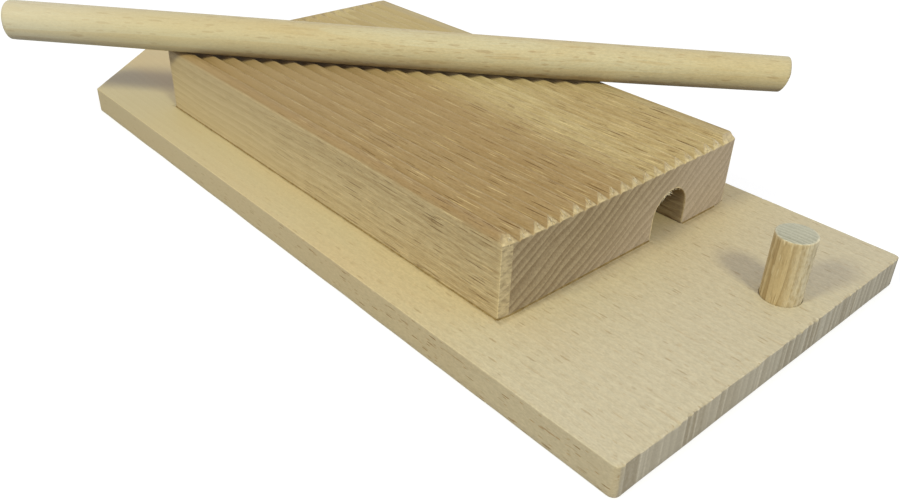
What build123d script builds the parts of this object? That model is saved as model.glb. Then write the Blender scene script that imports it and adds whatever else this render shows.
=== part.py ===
from build123d import *
import math
import os

# A gnocchi board, in millimetres. +X runs along the board towards the end with the stop peg,
# +Y across it towards the side with the pin channel, +Z up. The origin is the middle of the
# base board's underside.

# Base board: a flat plank, rounded at the two corners beside the peg, cut off at the two others
base_length = 240.0
base_width = 100.0
base_thickness = 7.5
base_corner_radius = 1.6
base_edge_round = 0.4
tip_cut_length = 34.0
tip_cut_width = 37.0

# Ridged block, glued on the base board
block_length = 137.8
block_width = 78.0
block_height = 18.5
block_setback = 40.7
block_side_shift = 1.6
block_end_bevel = 1.7
block_far_end_bevel = 0.4
block_left_round = 1.8
block_right_round = 0.4
corner_bevel_width = 2.6
corner_bevel_depth = 0.4

# Ridges along the block's top: crests with V grooves between them, which stop short of the far end
ridge_pitch = 3.78
ridge_land = 0.4
ridge_inset = 2.5
groove_angle = 90.0
groove_far_stop = 1.2

# Channel under the block that stores the rolling pin
channel_width = 12.0
channel_height = 11.2
channel_offset = 17.0

# Stop peg, glued in a blind hole
peg_diameter = 8.8
peg_exposed_height = 15.0
peg_end_inset = 9.6
peg_offset = 14.7
peg_top_round = 0.4
peg_hole_depth = 5.5
peg_hole_clearance = 0.1

# Rolling pin, a hand-sanded dowel that is a little thicker at one end, lying across the ridges
pin_length = 215.2
pin_thick_diameter = 11.0
pin_thin_diameter = 9.5
pin_thick_end_round = 2.0
pin_thin_end_round = 1.2
pin_place_x = -8.9
pin_place_y = 2.2
pin_turn_angle = 41.3
pin_rest_gap = 0.2

# How far every cutter runs past the material that it cuts
cut_overrun = 2.0

# Heights and places that follow from the sizes above
base_end_x = base_length / 2
block_end_x = base_end_x - block_setback
block_middle_x = block_end_x - block_length / 2
block_top_z = base_thickness + block_height
groove_half_width = (ridge_pitch - ridge_land) / 2
groove_depth = groove_half_width / math.tan(math.radians(groove_angle / 2))
ridge_count = 1 + round((block_width - 2 * ridge_inset) / ridge_pitch)
first_crest_y = block_side_shift - block_width / 2 + ridge_inset
peg_x = base_end_x - peg_end_inset


def make_base_board():
    """Plank with two rounded corners, two corners cut off, eased edges and the peg's hole."""
    half_length = base_length / 2
    half_width = base_width / 2
    outline = Polyline(
        (half_length, -half_width),
        (half_length, half_width),
        (tip_cut_length - half_length, half_width),
        (-half_length, half_width - tip_cut_width),
        (-half_length, tip_cut_width - half_width),
        (tip_cut_length - half_length, -half_width),
        close=True,
    )
    face = make_face(outline)
    near_corners = face.vertices().sort_by(Axis.X)[-2:]
    face = fillet(near_corners, base_corner_radius)
    plank = extrude(face, base_thickness)
    rims = plank.faces().filter_by(Axis.Z).edges()
    plank = fillet(rims, base_edge_round)
    hole_radius = peg_diameter / 2 + peg_hole_clearance
    hole_height = peg_hole_depth + cut_overrun
    hole = Cylinder(hole_radius, hole_height, align=(Align.CENTER, Align.CENTER, Align.MIN))
    hole_floor_z = base_thickness - peg_hole_depth
    return plank - Pos(peg_x, peg_offset, hole_floor_z) * hole


def make_groove(middle_y):
    """V prism that cuts the groove whose middle lies at middle_y in the block's top."""
    slope = groove_depth / groove_half_width
    top_half_width = groove_half_width + cut_overrun / slope
    vee = Polyline(
        (middle_y - top_half_width, block_top_z + cut_overrun),
        (middle_y, block_top_z - groove_depth),
        (middle_y + top_half_width, block_top_z + cut_overrun),
        close=True,
    )
    profile = Plane.YZ * make_face(vee)
    start_x = block_end_x - block_length + groove_far_stop
    run = block_length - groove_far_stop + cut_overrun
    return Pos(start_x, 0, 0) * extrude(profile, run, dir=(1, 0, 0))


def make_channel():
    """Arch-shaped prism, straight at the sides and round at the crown, from end to end."""
    crown_radius = channel_width / 2
    spring_height = channel_height - crown_radius
    sides = Rectangle(channel_width, spring_height + cut_overrun, align=(Align.CENTER, Align.MIN))
    arch = Pos(0, -cut_overrun) * sides + Pos(0, spring_height) * Circle(crown_radius)
    profile = Plane.YZ * arch
    run = block_length / 2 + cut_overrun
    return Pos(block_middle_x, channel_offset, base_thickness) * extrude(profile, run, both=True)


def make_end_bevel(outward, bevel):
    """Wedge that bevels the block's top edge at the end that outward (1 or -1) points to."""
    end_x = block_middle_x + outward * block_length / 2
    reach = bevel + cut_overrun
    wedge = Polyline(
        (end_x + outward * cut_overrun, block_top_z - reach),
        (end_x + outward * cut_overrun, block_top_z + cut_overrun),
        (end_x - outward * reach, block_top_z + cut_overrun),
        close=True,
    )
    profile = Plane.XZ * make_face(wedge)
    run = block_width / 2 + cut_overrun
    return Pos(0, block_side_shift, 0) * extrude(profile, run, both=True)


def make_corner_bevel(outward_x, outward_y):
    """Wedge that takes a thin slice off an end face beside one upright corner of the block."""
    corner_x = block_middle_x + outward_x * block_length / 2
    corner_y = block_side_shift + outward_y * block_width / 2
    outside_x = corner_x + outward_x * cut_overrun
    outside_y = corner_y + outward_y * cut_overrun
    start_y = corner_y - outward_y * corner_bevel_width
    slope = corner_bevel_depth / corner_bevel_width
    reach = corner_bevel_depth + slope * cut_overrun
    wedge = Polyline(
        (corner_x, start_y),
        (outside_x, start_y),
        (outside_x, outside_y),
        (corner_x - outward_x * reach, outside_y),
        close=True,
    )
    height = block_height + 2 * cut_overrun
    return Pos(0, 0, base_thickness - cut_overrun) * extrude(make_face(wedge), height, dir=(0, 0, 1))


def make_ridged_block():
    """Block with bevelled ends, ridges along its top and the pin channel through its foot."""
    blank = Box(block_length, block_width, block_height, align=(Align.CENTER, Align.CENTER, Align.MIN))
    block = Pos(block_middle_x, block_side_shift, base_thickness) * blank
    for side, radius in ((0, block_left_round), (-1, block_right_round)):
        top_edges = block.faces().sort_by(Axis.Z)[-1].edges().filter_by(Axis.X).sort_by(Axis.Y)
        block = fillet(top_edges[side], radius)
    for outward_x, bevel in ((-1, block_far_end_bevel), (1, block_end_bevel)):
        block -= make_end_bevel(outward_x, bevel)
        for outward_y in (-1, 1):
            block -= make_corner_bevel(outward_x, outward_y)
    for index in range(ridge_count - 1):
        block -= make_groove(first_crest_y + (index + 0.5) * ridge_pitch)
    return block - make_channel()


def make_stop_peg():
    """Upright dowel that stands on the floor of its hole."""
    height = peg_hole_depth + peg_exposed_height
    dowel = Cylinder(peg_diameter / 2, height, align=(Align.CENTER, Align.CENTER, Align.MIN))
    top_rim = dowel.edges().sort_by(Axis.Z)[-1]
    dowel = fillet(top_rim, peg_top_round)
    return Pos(peg_x, peg_offset, base_thickness - peg_hole_depth) * dowel


def make_rolling_pin():
    """Tapered dowel with eased ends, its lowest line level and just above the crests."""
    thick_radius = pin_thick_diameter / 2
    thin_radius = pin_thin_diameter / 2
    taper_angle = math.atan((thick_radius - thin_radius) / pin_length)
    dowel = Cone(thick_radius, thin_radius, pin_length)
    thin_rim = dowel.edges().filter_by(GeomType.CIRCLE).sort_by(Axis.Z)[-1]
    dowel = fillet(thin_rim, pin_thin_end_round)
    thick_rim = dowel.edges().filter_by(GeomType.CIRCLE).sort_by(Axis.Z)[0]
    dowel = fillet(thick_rim, pin_thick_end_round)
    middle_radius = (thick_radius + thin_radius) / 2 / math.cos(taper_angle)
    lying = Rot(0, 90 + math.degrees(taper_angle), 0) * dowel
    turned = Rot(0, 0, pin_turn_angle) * lying
    return Pos(pin_place_x, pin_place_y, block_top_z + pin_rest_gap + middle_radius) * turned


os.makedirs("parts", exist_ok=True)
export_step(make_base_board(), "parts/base_board.step")
export_step(make_ridged_block(), "parts/ridged_block.step")
export_step(make_stop_peg(), "parts/stop_peg.step")
export_step(make_rolling_pin(), "parts/rolling_pin.step")
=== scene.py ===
"""Looks of a gnocchi board: a ridged beech block on a beech plank, a stop peg and a loose rolling pin.

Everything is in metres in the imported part's frame: +X along the board towards the stop peg, +Y across
it towards the pin channel, +Z up. Sizes that end in _mm are millimetres and become metres in Skin.
"""

import logging
import math
import random
from dataclasses import dataclass, replace
from enum import Enum
from typing import Any, Callable, Iterable, Sequence

import bmesh
import bpy
from mathutils import Matrix, Vector, noise

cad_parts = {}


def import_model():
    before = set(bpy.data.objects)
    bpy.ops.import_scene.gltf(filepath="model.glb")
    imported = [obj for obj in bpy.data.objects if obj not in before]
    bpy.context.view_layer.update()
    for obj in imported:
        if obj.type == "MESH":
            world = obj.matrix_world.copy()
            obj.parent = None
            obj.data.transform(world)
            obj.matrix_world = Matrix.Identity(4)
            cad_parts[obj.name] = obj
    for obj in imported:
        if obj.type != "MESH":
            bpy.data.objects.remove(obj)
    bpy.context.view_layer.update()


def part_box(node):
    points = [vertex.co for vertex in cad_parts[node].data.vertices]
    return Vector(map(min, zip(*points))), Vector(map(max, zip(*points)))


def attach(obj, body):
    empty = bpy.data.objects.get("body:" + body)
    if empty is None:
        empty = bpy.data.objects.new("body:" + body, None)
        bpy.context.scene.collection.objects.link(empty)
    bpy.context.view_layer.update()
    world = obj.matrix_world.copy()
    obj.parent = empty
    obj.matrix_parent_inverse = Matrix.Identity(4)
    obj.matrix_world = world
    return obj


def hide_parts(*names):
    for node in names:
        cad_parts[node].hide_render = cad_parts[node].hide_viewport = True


LOG = logging.getLogger("gnocchi_board")
MM = 0.001
MERGE_DISTANCE = 1e-7
CORNER_PARTS = 5

# Sockets of Blender's Mix node: two for single values, two for colours
MIX_FACTOR = 0
MIX_FIRST_VALUE = 2
MIX_SECOND_VALUE = 3
MIX_VALUE = 0
MIX_FIRST = 6
MIX_SECOND = 7
MIX_COLOUR = 2

# Length of one band of Blender's wave texture at scale 1
WAVE_BAND = 0.314

Socket = bpy.types.NodeSocket
WHITE = (1.0, 1.0, 1.0, 1.0)


def linear(hex_colour: str, alpha: float = 1.0) -> tuple[float, float, float, float]:
    """Turns an sRGB colour into the linear one that shaders take.

    Args:
        hex_colour: Six hex digits, such as "c7b996".
        alpha: The fourth value, passed through.

    Returns:
        Linear red, green, blue and alpha.
    """
    parts = [int(hex_colour[i : i + 2], 16) / 255 for i in (0, 2, 4)]
    red, green, blue = (c / 12.92 if c <= 0.04045 else ((c + 0.055) / 1.055) ** 2.4 for c in parts)
    return red, green, blue, alpha


def add_node(
    tree: bpy.types.NodeTree,
    kind: str,
    inputs: dict[str | int, Any] | None = None,
    **settings: Any,
) -> bpy.types.Node:
    """Adds a node of any kind, with its settings, its values and its links.

    Args:
        tree: The node tree that gets the node.
        kind: Blender's name of the node type.
        inputs: Input name or number to a value, or to an output socket that is linked to it.
        **settings: Properties of the node itself.

    Returns:
        The new node.
    """
    node = tree.nodes.new(kind)
    for name, value in settings.items():
        setattr(node, name, value)
    for name, value in (inputs or {}).items():
        if isinstance(value, bpy.types.NodeSocket):
            tree.links.new(value, node.inputs[name])
        else:
            node.inputs[name].default_value = value
    return node


@dataclass
class Wiring:
    """A node tree, with short names for the nodes that the finishes use most."""

    tree: bpy.types.NodeTree

    @classmethod
    def of(cls, owner: bpy.types.Material | bpy.types.World) -> "Wiring":
        """Starts the empty node tree of a material or of the world."""
        owner.use_nodes = True
        owner.node_tree.nodes.clear()
        return cls(owner.node_tree)

    def add(self, kind: str, inputs: dict[str | int, Any] | None = None, **settings: Any) -> Any:
        """Adds a shader node and gives its outputs."""
        return add_node(self.tree, "ShaderNode" + kind, inputs, **settings).outputs

    def math(self, operation: str, *values: Any, clamp: bool = False) -> Socket:
        """Works with one to three values."""
        return self.add("Math", dict(enumerate(values)), operation=operation, use_clamp=clamp)[0]

    def vector(self, operation: str, *values: Any) -> Socket:
        """Works with one to three vectors."""
        return self.add("VectorMath", dict(enumerate(values)), operation=operation)["Vector"]

    def split(self, vector: Socket) -> Any:
        """Takes a vector apart into outputs X, Y and Z."""
        return self.add("SeparateXYZ", {"Vector": vector})

    def ramp(
        self, value: Socket, start: Any, end: Any, low: Any = 0.0, high: Any = 1.0, smooth: bool = False
    ) -> Socket:
        """Runs from low to high while a value runs from start to end, and is level beyond them.

        Args:
            value: The value.
            start: Where the run starts.
            end: Where it ends.
            low: What comes out at the start.
            high: What comes out at the end.
            smooth: Whether the run is an S instead of a straight line.

        Returns:
            The result.
        """
        inputs = {"Value": value, "From Min": start, "From Max": end, "To Min": low, "To Max": high}
        curve = "SMOOTHSTEP" if smooth else "LINEAR"
        return self.add("MapRange", inputs, interpolation_type=curve)["Result"]

    def blend(self, amount: Socket, first: Socket | str, second: Socket | str) -> Socket:
        """Mixes the second colour into the first; each is a socket or an sRGB hex colour."""
        pair = [linear(colour) if isinstance(colour, str) else colour for colour in (first, second)]
        inputs = {MIX_FACTOR: amount, MIX_FIRST: pair[0], MIX_SECOND: pair[1]}
        return self.add("Mix", inputs, data_type="RGBA")[MIX_COLOUR]

    def pattern(
        self,
        place: Socket,
        scale: Sequence[float],
        detail: float,
        roughness: float = 0.5,
        output: str = "Fac",
    ) -> Socket:
        """Draws noise whose lumps are about 1 / scale long each way.

        Args:
            place: Place in millimetres.
            scale: Lumps per millimetre along X, Y and Z.
            detail: How many finer layers lie over the lumps.
            roughness: How strong those layers are.
            output: Fac for one value, Color for three.

        Returns:
            The noise, mostly between 0.3 and 0.7.
        """
        stretched = self.add("Mapping", {"Vector": place, "Scale": scale})["Vector"]
        inputs = {"Vector": stretched, "Scale": 1.0, "Detail": detail, "Roughness": roughness}
        return self.add("TexNoise", inputs)[output]


def ripple(x: float, y: float, z: float = 0.0) -> float:
    """Smooth, repeatable unevenness between -1 and 1 at a point."""
    return noise.noise(Vector((x, y, z)))


class Skin:
    """A piece's surface while it is made, from rings of points in millimetres.

    Each point carries two paints: worn, where the wood is bruised pale and, on a few edges, where light is
    painted; and seam, where glue, dust and darker bands of wood have darkened it and, in hollows and under the
    pin, where shade is painted. The finishes read both.
    """

    def __init__(self) -> None:
        """Starts an empty surface."""
        self.mesh = bmesh.new()
        self.worn = self.mesh.verts.layers.float.new("worn")
        self.seam = self.mesh.verts.layers.float.new("seam")

    def point(self, place: Sequence[float], worn: float = 0.0, seam: float = 0.0) -> bmesh.types.BMVert:
        """Adds one point.

        Args:
            place: x, y, z in millimetres.
            worn: Share of pale wear, which on a few edges is painted light.
            seam: Share of dark tone from glue, dust and darker wood, and of painted shade.

        Returns:
            The new vertex.
        """
        vertex = self.mesh.verts.new([c * MM for c in place])
        vertex[self.worn] = worn
        vertex[self.seam] = seam
        return vertex

    def ring(self, places: Iterable[Sequence[float]], worn: float = 0.0, seam: float = 0.0) -> list:
        """Adds a row of points that all have the same paint.

        Args:
            places: The points, in millimetres.
            worn: Share of pale wear, which on a few edges is painted light.
            seam: Share of dark tone from glue, dust and darker wood, and of painted shade.

        Returns:
            The new vertices, in order.
        """
        return [self.point(p, worn, seam) for p in places]

    def join(self, first: list, second: list) -> None:
        """Spans two closed rings of the same count with four-sided faces."""
        count = len(first)
        for i in range(count):
            j = (i + 1) % count
            self.mesh.faces.new((first[i], first[j], second[j], second[i]))

    def join_all(self, rings: list[list]) -> None:
        """Spans each ring in a list with the next one."""
        for first, second in zip(rings, rings[1:]):
            self.join(first, second)

    def close(self, ring: list) -> None:
        """Fills a ring with one face."""
        self.mesh.faces.new(ring)

    def fill_between(self, *loops: list) -> None:
        """Fills the flat area between an outline and the holes in it."""
        edges = []
        for loop in loops:
            for i, vertex in enumerate(loop):
                following = loop[(i + 1) % len(loop)]
                pair = (vertex, following)
                edges.append(self.mesh.edges.get(pair) or self.mesh.edges.new(pair))
        bmesh.ops.triangle_fill(self.mesh, use_beauty=True, use_dissolve=False, edges=edges)

    def piece(
        self, name: str, body: str, place: Matrix = Matrix.Identity(4), sharp_degrees: float = 32.0
    ) -> bpy.types.Object:
        """Turns the surface into a Blender object that rides on a body.

        Args:
            name: The piece's name.
            body: The CAD body that it moves with.
            place: Where the surface goes in the frame.
            sharp_degrees: Edges that turn by more than this stay crisp.

        Returns:
            The new object, at the origin.
        """
        bmesh.ops.remove_doubles(self.mesh, verts=self.mesh.verts, dist=MERGE_DISTANCE)
        bmesh.ops.dissolve_degenerate(self.mesh, dist=MERGE_DISTANCE, edges=self.mesh.edges)
        bmesh.ops.recalc_face_normals(self.mesh, faces=self.mesh.faces)
        self.mesh.transform(place)
        data = bpy.data.meshes.new(name)
        self.mesh.to_mesh(data)
        self.mesh.free()
        data.shade_smooth()
        data.set_sharp_from_angle(angle=math.radians(sharp_degrees))
        piece = bpy.data.objects.new(name, data)
        bpy.context.scene.collection.objects.link(piece)
        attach(piece, body)
        return piece


@dataclass(frozen=True)
class GrainMark:
    """One family of dark marks that lie along the grain, such as ray flecks or open pores.

    Attributes:
        length_mm: Usual length along the grain.
        width_mm: Usual width across it.
        depth_mm: How far one mark reaches into the wood, which is its length on a face cut the other way.
        share: Share of the marks' cells that show a mark.
        colour: sRGB hex colour of the mark.
        strength: How much of that colour it takes.
        slant: How far the marks lean across the grain per millimetre along it.
        spacing: Size of a mark's cell, in marks; marks with larger cells never lie in clusters.
    """

    length_mm: float
    width_mm: float
    depth_mm: float
    share: float
    colour: str
    strength: float
    slant: float = 0.0
    spacing: float = 2.0


@dataclass(frozen=True)
class BeechFinish:
    """Bare steamed beech, cut from a solid pattern so that faces, ends and grooves agree.

    The grain runs along the object's local X. Rings are nearly flat sheets that lean by ring_tilt from
    local Y, so the ends show them as lines and the faces as stripes.

    Attributes:
        name: The material's name.
        heart: Colour on the heart side of the rings.
        sap: Colour on the sap side, which is paler.
        heart_at_mm: Place across the rings where the wood has its full heart colour.
        sap_at_mm: Place across the rings where it has its full sap colour.
        patch: Colour of broad warm patches.
        patch_strength: How much of it shows.
        lengthwise_tone: Colour towards which the wood changes along the grain.
        lengthwise_from_mm: Place along X where that begins.
        lengthwise_to_mm: Place along X where it is complete.
        side: Colour of upright faces: the planed sides' own tone where it differs from milled or upper faces, and
            on the plank painted shade.
        side_tone_and_shade_strength: How much of it shows.
        late: Colour of the late wood's lines.
        late_strength: How much it shows on faces along the grain.
        thread_strength: How much single fibres show there.
        end_pale: Early wood on a cut end.
        end_dark: Late wood on a cut end.
        end_sap: Colour towards which a cut end pales on the sap side.
        end_sap_at_mm: Place across the rings where a cut end has its full sap colour.
        end_contrast: How strongly the rings show on a cut end.
        ring_mm: Distance between rings.
        ring_tilt: Lean of the rings in degrees.
        marks: The families of marks.
        worn: Colour of bruised edges and torn fibres, which also serves as painted light on a few edges.
        seam: Colour of the glue line, of dust in corners and of darker wood, and of the shade painted in hollows
            and under the pin.
        roughness: Roughness of the surface.
        relief_mm: Height of the grain's relief.
        grit: How much brightness changes from one bundle of fibres to the next.
        ring_bow_mm: Radius of the rings where the piece was cut.
        flecks_from_mm: Place along X where marks and fibres are faintest.
        flecks_to_mm: Place along X where they show fully.
        flecks_least: Share of their strength that is left where they are faintest.
        side_clearness: How much stronger the marks are on planed sides.
        wander_mm: How far the grain bends.
        cut_from: How squarely a surface faces along the grain where it starts to show the cut end.
        cut_to: How squarely it does where it shows only that.
        cut_from_mm: Where in the endless pattern this piece was cut.
    """

    name: str
    heart: str
    sap: str
    heart_at_mm: float
    sap_at_mm: float
    patch: str
    patch_strength: float
    lengthwise_tone: str
    lengthwise_from_mm: float
    lengthwise_to_mm: float
    side: str
    side_tone_and_shade_strength: float
    late: str
    late_strength: float
    thread_strength: float
    end_pale: str
    end_dark: str
    end_sap: str
    end_sap_at_mm: float
    end_contrast: float
    ring_mm: float
    ring_tilt: float
    marks: tuple[GrainMark, ...]
    worn: str
    seam: str
    roughness: float = 0.66
    relief_mm: float = 0.035
    grit: float = 0.08
    ring_bow_mm: float = 5000.0
    flecks_from_mm: float = -1000.0
    flecks_to_mm: float = -900.0
    flecks_least: float = 0.3
    side_clearness: float = 0.0
    wander_mm: float = 6.0
    cut_from: float = 0.5
    cut_to: float = 0.85
    cut_from_mm: tuple[float, float, float] = (0.0, 0.0, 0.0)

    def material(self, place: Matrix = Matrix.Identity(4)) -> bpy.types.Material:
        """Builds the material.

        Args:
            place: Where the piece lies; the grain runs along this place's own X.

        Returns:
            The material.
        """
        material = bpy.data.materials.new(self.name)
        BeechGrain(self, Wiring.of(material), place).shade()
        return material


class BeechGrain:
    """The pattern of one piece of beech, wired into its material; lengths in it are millimetres."""

    def __init__(self, finish: BeechFinish, wiring: Wiring, place: Matrix) -> None:
        """Lays out places, directions, rings and fibres.

        Args:
            finish: What the wood looks like.
            wiring: The material's empty node tree.
            place: Where the piece lies.
        """
        self.finish = finish
        self.wiring = wiring
        here = wiring.add("TexCoord")
        turn = place.to_euler()
        lies = {"Location": place.translation, "Rotation": turn, "Scale": (MM, MM, MM)}
        self.straight = wiring.add("Mapping", {"Vector": here["Object"], **lies}, vector_type="TEXTURE")["Vector"]
        direction = {"Vector": here["Normal"], "Rotation": turn}
        turned = wiring.add("VectorRotate", direction, rotation_type="EULER_XYZ", invert=True)["Vector"]
        self.facing = wiring.split(wiring.vector("ABSOLUTE", turned))
        self.along = wiring.split(self.straight)["X"]
        reach = (finish.flecks_from_mm, finish.flecks_to_mm)
        self.flecked = wiring.ramp(self.along, *reach, finish.flecks_least)
        self.leaning = self._lean()
        self.sheets = self._wander()
        self.rings = self._rings()
        # Streaks 0.3 mm wide stand for single fibres, which are really 0.05 mm, so that they show
        self.fibres = wiring.pattern(self.sheets, (0.15, 3.1, 3.1), 3.0, 0.7)

    def shade(self) -> None:
        """Wires colour, roughness and relief into the shader."""
        finish, wiring = self.finish, self.wiring
        face, pits = self._face_colour()
        cut = wiring.ramp(self.facing["X"], finish.cut_from, finish.cut_to, smooth=True)
        colour = self._gritty(self._wear(cut, face, self._end_colour()))
        # Open pores are pits only where they lie in the surface
        uncut = wiring.math("SUBTRACT", 0.6, cut, clamp=True)
        height = wiring.math("MULTIPLY_ADD", self.rings, 0.5, self.fibres)
        height = wiring.math("SUBTRACT", height, wiring.math("MULTIPLY", pits, uncut))
        relief = wiring.add("Bump", {"Height": height, "Distance": finish.relief_mm * MM, "Strength": 1.0})
        gloss = wiring.ramp(self.rings, 0.0, 1.0, finish.roughness + 0.06, finish.roughness - 0.06)
        # Bare planed wood: a dielectric of IOR 1.5 with a dull surface, so it gives the eye no highlight
        shader = wiring.add(
            "BsdfPrincipled",
            {
                "Base Color": colour,
                "Roughness": gloss,
                "IOR": 1.5,
                "Specular IOR Level": 0.3,
                "Normal": relief["Normal"],
            },
        )
        wiring.add("OutputMaterial", {"Surface": shader["BSDF"]})

    def _lean(self) -> Socket:
        """Turns places in the piece into X along the grain, Y along the rings and Z across them."""
        wiring = self.wiring
        tilt = {"Vector": self.straight, "Rotation": (-math.radians(self.finish.ring_tilt), 0, 0)}
        parts = wiring.split(wiring.add("Mapping", tilt)["Vector"])
        # The rings are arcs round a far-off pith
        squared = wiring.math("MULTIPLY", parts["Y"], parts["Y"])
        across = wiring.math("MULTIPLY_ADD", squared, -0.5 / self.finish.ring_bow_mm, parts["Z"])
        return wiring.add("CombineXYZ", {"X": parts["X"], "Y": parts["Y"], "Z": across})["Vector"]

    def _wander(self) -> Socket:
        """Bends the grain slowly, and moves the piece to its own place in the pattern."""
        drift = self.wiring.pattern(self.leaning, (0.008, 0.03, 0.03), 2.0, output="Color")
        reach = (0.0, self.finish.wander_mm, self.finish.wander_mm)
        bent = self.wiring.vector("MULTIPLY_ADD", drift, reach, self.leaning)
        return self.wiring.vector("ADD", bent, self.finish.cut_from_mm)

    def _rings(self) -> Socket:
        """Growth rings as a value from 0 in early wood to 1 in late wood, where each year ends abruptly."""
        wiring, ring = self.wiring, self.finish.ring_mm
        waves = wiring.add("Mapping", {"Vector": self.sheets, "Scale": (0.02, 0.12, 1.0)})["Vector"]
        inputs = {
            "Vector": waves,
            "Scale": WAVE_BAND / ring,
            "Distortion": 5.0,
            "Detail": 2.0,
            "Detail Scale": 1.6,
            "Detail Roughness": 0.6,
        }
        years = wiring.add("TexWave", inputs, bands_direction="Z", wave_profile="SAW")["Fac"]
        fine = wiring.pattern(self.sheets, (0.006, 0.09, 2.3 / ring), 3.0, 0.65)
        halves = {MIX_FACTOR: 0.5, MIX_FIRST_VALUE: years, MIX_SECOND_VALUE: fine}
        return wiring.add("Mix", halves, data_type="FLOAT")[MIX_VALUE]

    def _sapwood(self, full_at_mm: float) -> Socket:
        """Share of pale sapwood, which grows across the rings from the heart side."""
        across = self.wiring.split(self.leaning)["Z"]
        return self.wiring.ramp(across, self.finish.heart_at_mm, full_at_mm, smooth=True)

    def _gritty(self, colour: Socket) -> Socket:
        """Lets brightness change from one bundle of fibres to the next, 1 mm long and 0.4 mm across."""
        bundles = self.wiring.pattern(self.sheets, (1.0, 2.4, 2.4), 2.0, 0.75)
        swing = self.wiring.ramp(bundles, 0.3, 0.7, -self.finish.grit, self.finish.grit)
        light = self.wiring.math("MULTIPLY_ADD", swing, self.flecked, 1.0)
        return self.wiring.add("VectorMath", {0: colour, "Scale": light}, operation="SCALE")["Vector"]

    def _mark(self, mark: GrainMark) -> Socket:
        """Draws one family of marks as stretched cells, of which only some are dark.

        Args:
            mark: The family.

        Returns:
            A value that is 1 inside a mark.
        """
        wiring, spacing = self.wiring, mark.spacing
        scale = [1 / (spacing * size) for size in (mark.length_mm, mark.width_mm, mark.depth_mm)]
        inputs = {"Vector": self.sheets, "Rotation": (0, 0, mark.slant), "Scale": scale}
        stretched = wiring.add("Mapping", inputs)["Vector"]
        cells = wiring.add("TexVoronoi", {"Vector": stretched, "Scale": 1.0}, feature="F1")
        # The fibre streaks fray the marks' rims
        frayed = wiring.math("MULTIPLY_ADD", self.fibres, 1.6 / spacing, cells["Distance"])
        core = wiring.ramp(frayed, 1.38 / spacing, 1.6 / spacing, 1.0, 0.0, smooth=True)
        chance = wiring.add("SeparateColor", {"Color": cells["Color"]})["Red"]
        return wiring.math("MULTIPLY", core, wiring.ramp(chance, 1.0 - mark.share, 1.0 - 0.4 * mark.share))

    def _face_colour(self) -> tuple[Socket, Socket]:
        """Colours wood that is cut along the grain.

        Returns:
            The colour, and the depth of the marks for the relief.
        """
        finish, wiring = self.finish, self.wiring
        # Upright faces take the side colour: the block's planed sides their own tone, the plank's sides painted
        # shade
        upright = wiring.ramp(self.facing["Z"], 0.6, 0.25, high=finish.side_tone_and_shade_strength, smooth=True)
        patches = wiring.pattern(self.sheets, (0.014, 0.06, 0.06), 3.0)
        fullest = wiring.math("MULTIPLY", self.flecked, finish.thread_strength)
        # Towards one end the colour changes along the grain
        lengthwise_share = wiring.ramp(self.along, finish.lengthwise_from_mm, finish.lengthwise_to_mm, smooth=True)
        colour = wiring.blend(self._sapwood(finish.sap_at_mm), finish.heart, finish.sap)
        for amount, tint in (
            (wiring.ramp(patches, 0.38, 0.68, high=finish.patch_strength), finish.patch),
            (lengthwise_share, finish.lengthwise_tone),
            (upright, finish.side),
            (wiring.ramp(self.rings, 0.35, 0.8, high=finish.late_strength), finish.late),
            (wiring.ramp(self.fibres, 0.42, 0.66, high=fullest), finish.late),
        ):
            colour = wiring.blend(amount, colour, tint)
        # Saws and planes leave the marks clearer on a side than on an upper face that was sanded
        clearness = wiring.math("MULTIPLY_ADD", upright, finish.side_clearness, 1.0)
        pits = []
        for mark in finish.marks:
            pits.append(wiring.math("MULTIPLY", self._mark(mark), self.flecked))
            clear = wiring.math("MULTIPLY", clearness, mark.strength)
            colour = wiring.blend(wiring.math("MULTIPLY", pits[-1], clear, clamp=True), colour, mark.colour)
        deepest = pits[0]
        for other in pits[1:]:
            deepest = wiring.math("MAXIMUM", deepest, other)
        return colour, deepest

    def _end_colour(self) -> Socket:
        """Colours wood that is cut across the grain: rings, fine rays and pores."""
        finish, wiring = self.finish, self.wiring
        sapwood = self._sapwood(finish.end_sap_at_mm)
        # Late wood is less dense in the sapwood, so its rings are fainter there
        contrast = wiring.ramp(sapwood, 0.0, 1.0, finish.end_contrast, 0.45 * finish.end_contrast)
        years = wiring.ramp(self.rings, 0.3, 0.72, high=contrast, smooth=True)
        colour = wiring.blend(sapwood, finish.end_pale, finish.end_sap)
        colour = wiring.blend(years, colour, finish.end_dark)
        # Rays cross the rings about 0.6 mm apart; pores are 0.1 mm holes, drawn at 0.3 mm so that they show
        rays = ((0.3, 1.6, 0.3), 0.5, 0.75, 0.35)
        pores = ((0.6, 3.0, 3.0), 0.48, 0.7, 0.5)
        for scale, faint, full, share in (rays, pores):
            most = wiring.math("MULTIPLY", contrast, share)
            shown = wiring.ramp(wiring.pattern(self.sheets, scale, 1.0), faint, full, high=most)
            colour = wiring.blend(shown, colour, finish.end_dark)
        return colour

    def _wear(self, cut: Socket, face: Socket, end: Socket) -> Socket:
        """Picks face or end colour by the way the surface faces, then adds the painted wear, the light painted
        with it, and the dark tone and painted shade.

        Args:
            cut: Share of cut end, from 0 on faces along the grain to 1 on ends.
            face: Colour along the grain.
            end: Colour across the grain.

        Returns:
            The colour.
        """
        wiring = self.wiring
        colour = wiring.blend(cut, face, end)
        # Bruised fibres, and the light painted with them, show in tufts about 0.5 mm high and 1 mm long; glue,
        # dust and painted shade lie almost evenly
        for paint, tint, scale, thin in (
            ("worn", self.finish.worn, (0.8, 0.7, 1.9), 0.3),
            ("seam", self.finish.seam, (0.3, 1.2, 1.2), 0.1),
        ):
            painted = wiring.add("Attribute", attribute_name=paint)["Fac"]
            thick = wiring.ramp(wiring.pattern(self.straight, scale, 2.0), thin, 0.62, low=0.25)
            colour = wiring.blend(wiring.math("MULTIPLY", painted, thick), colour, tint)
        return colour


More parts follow.
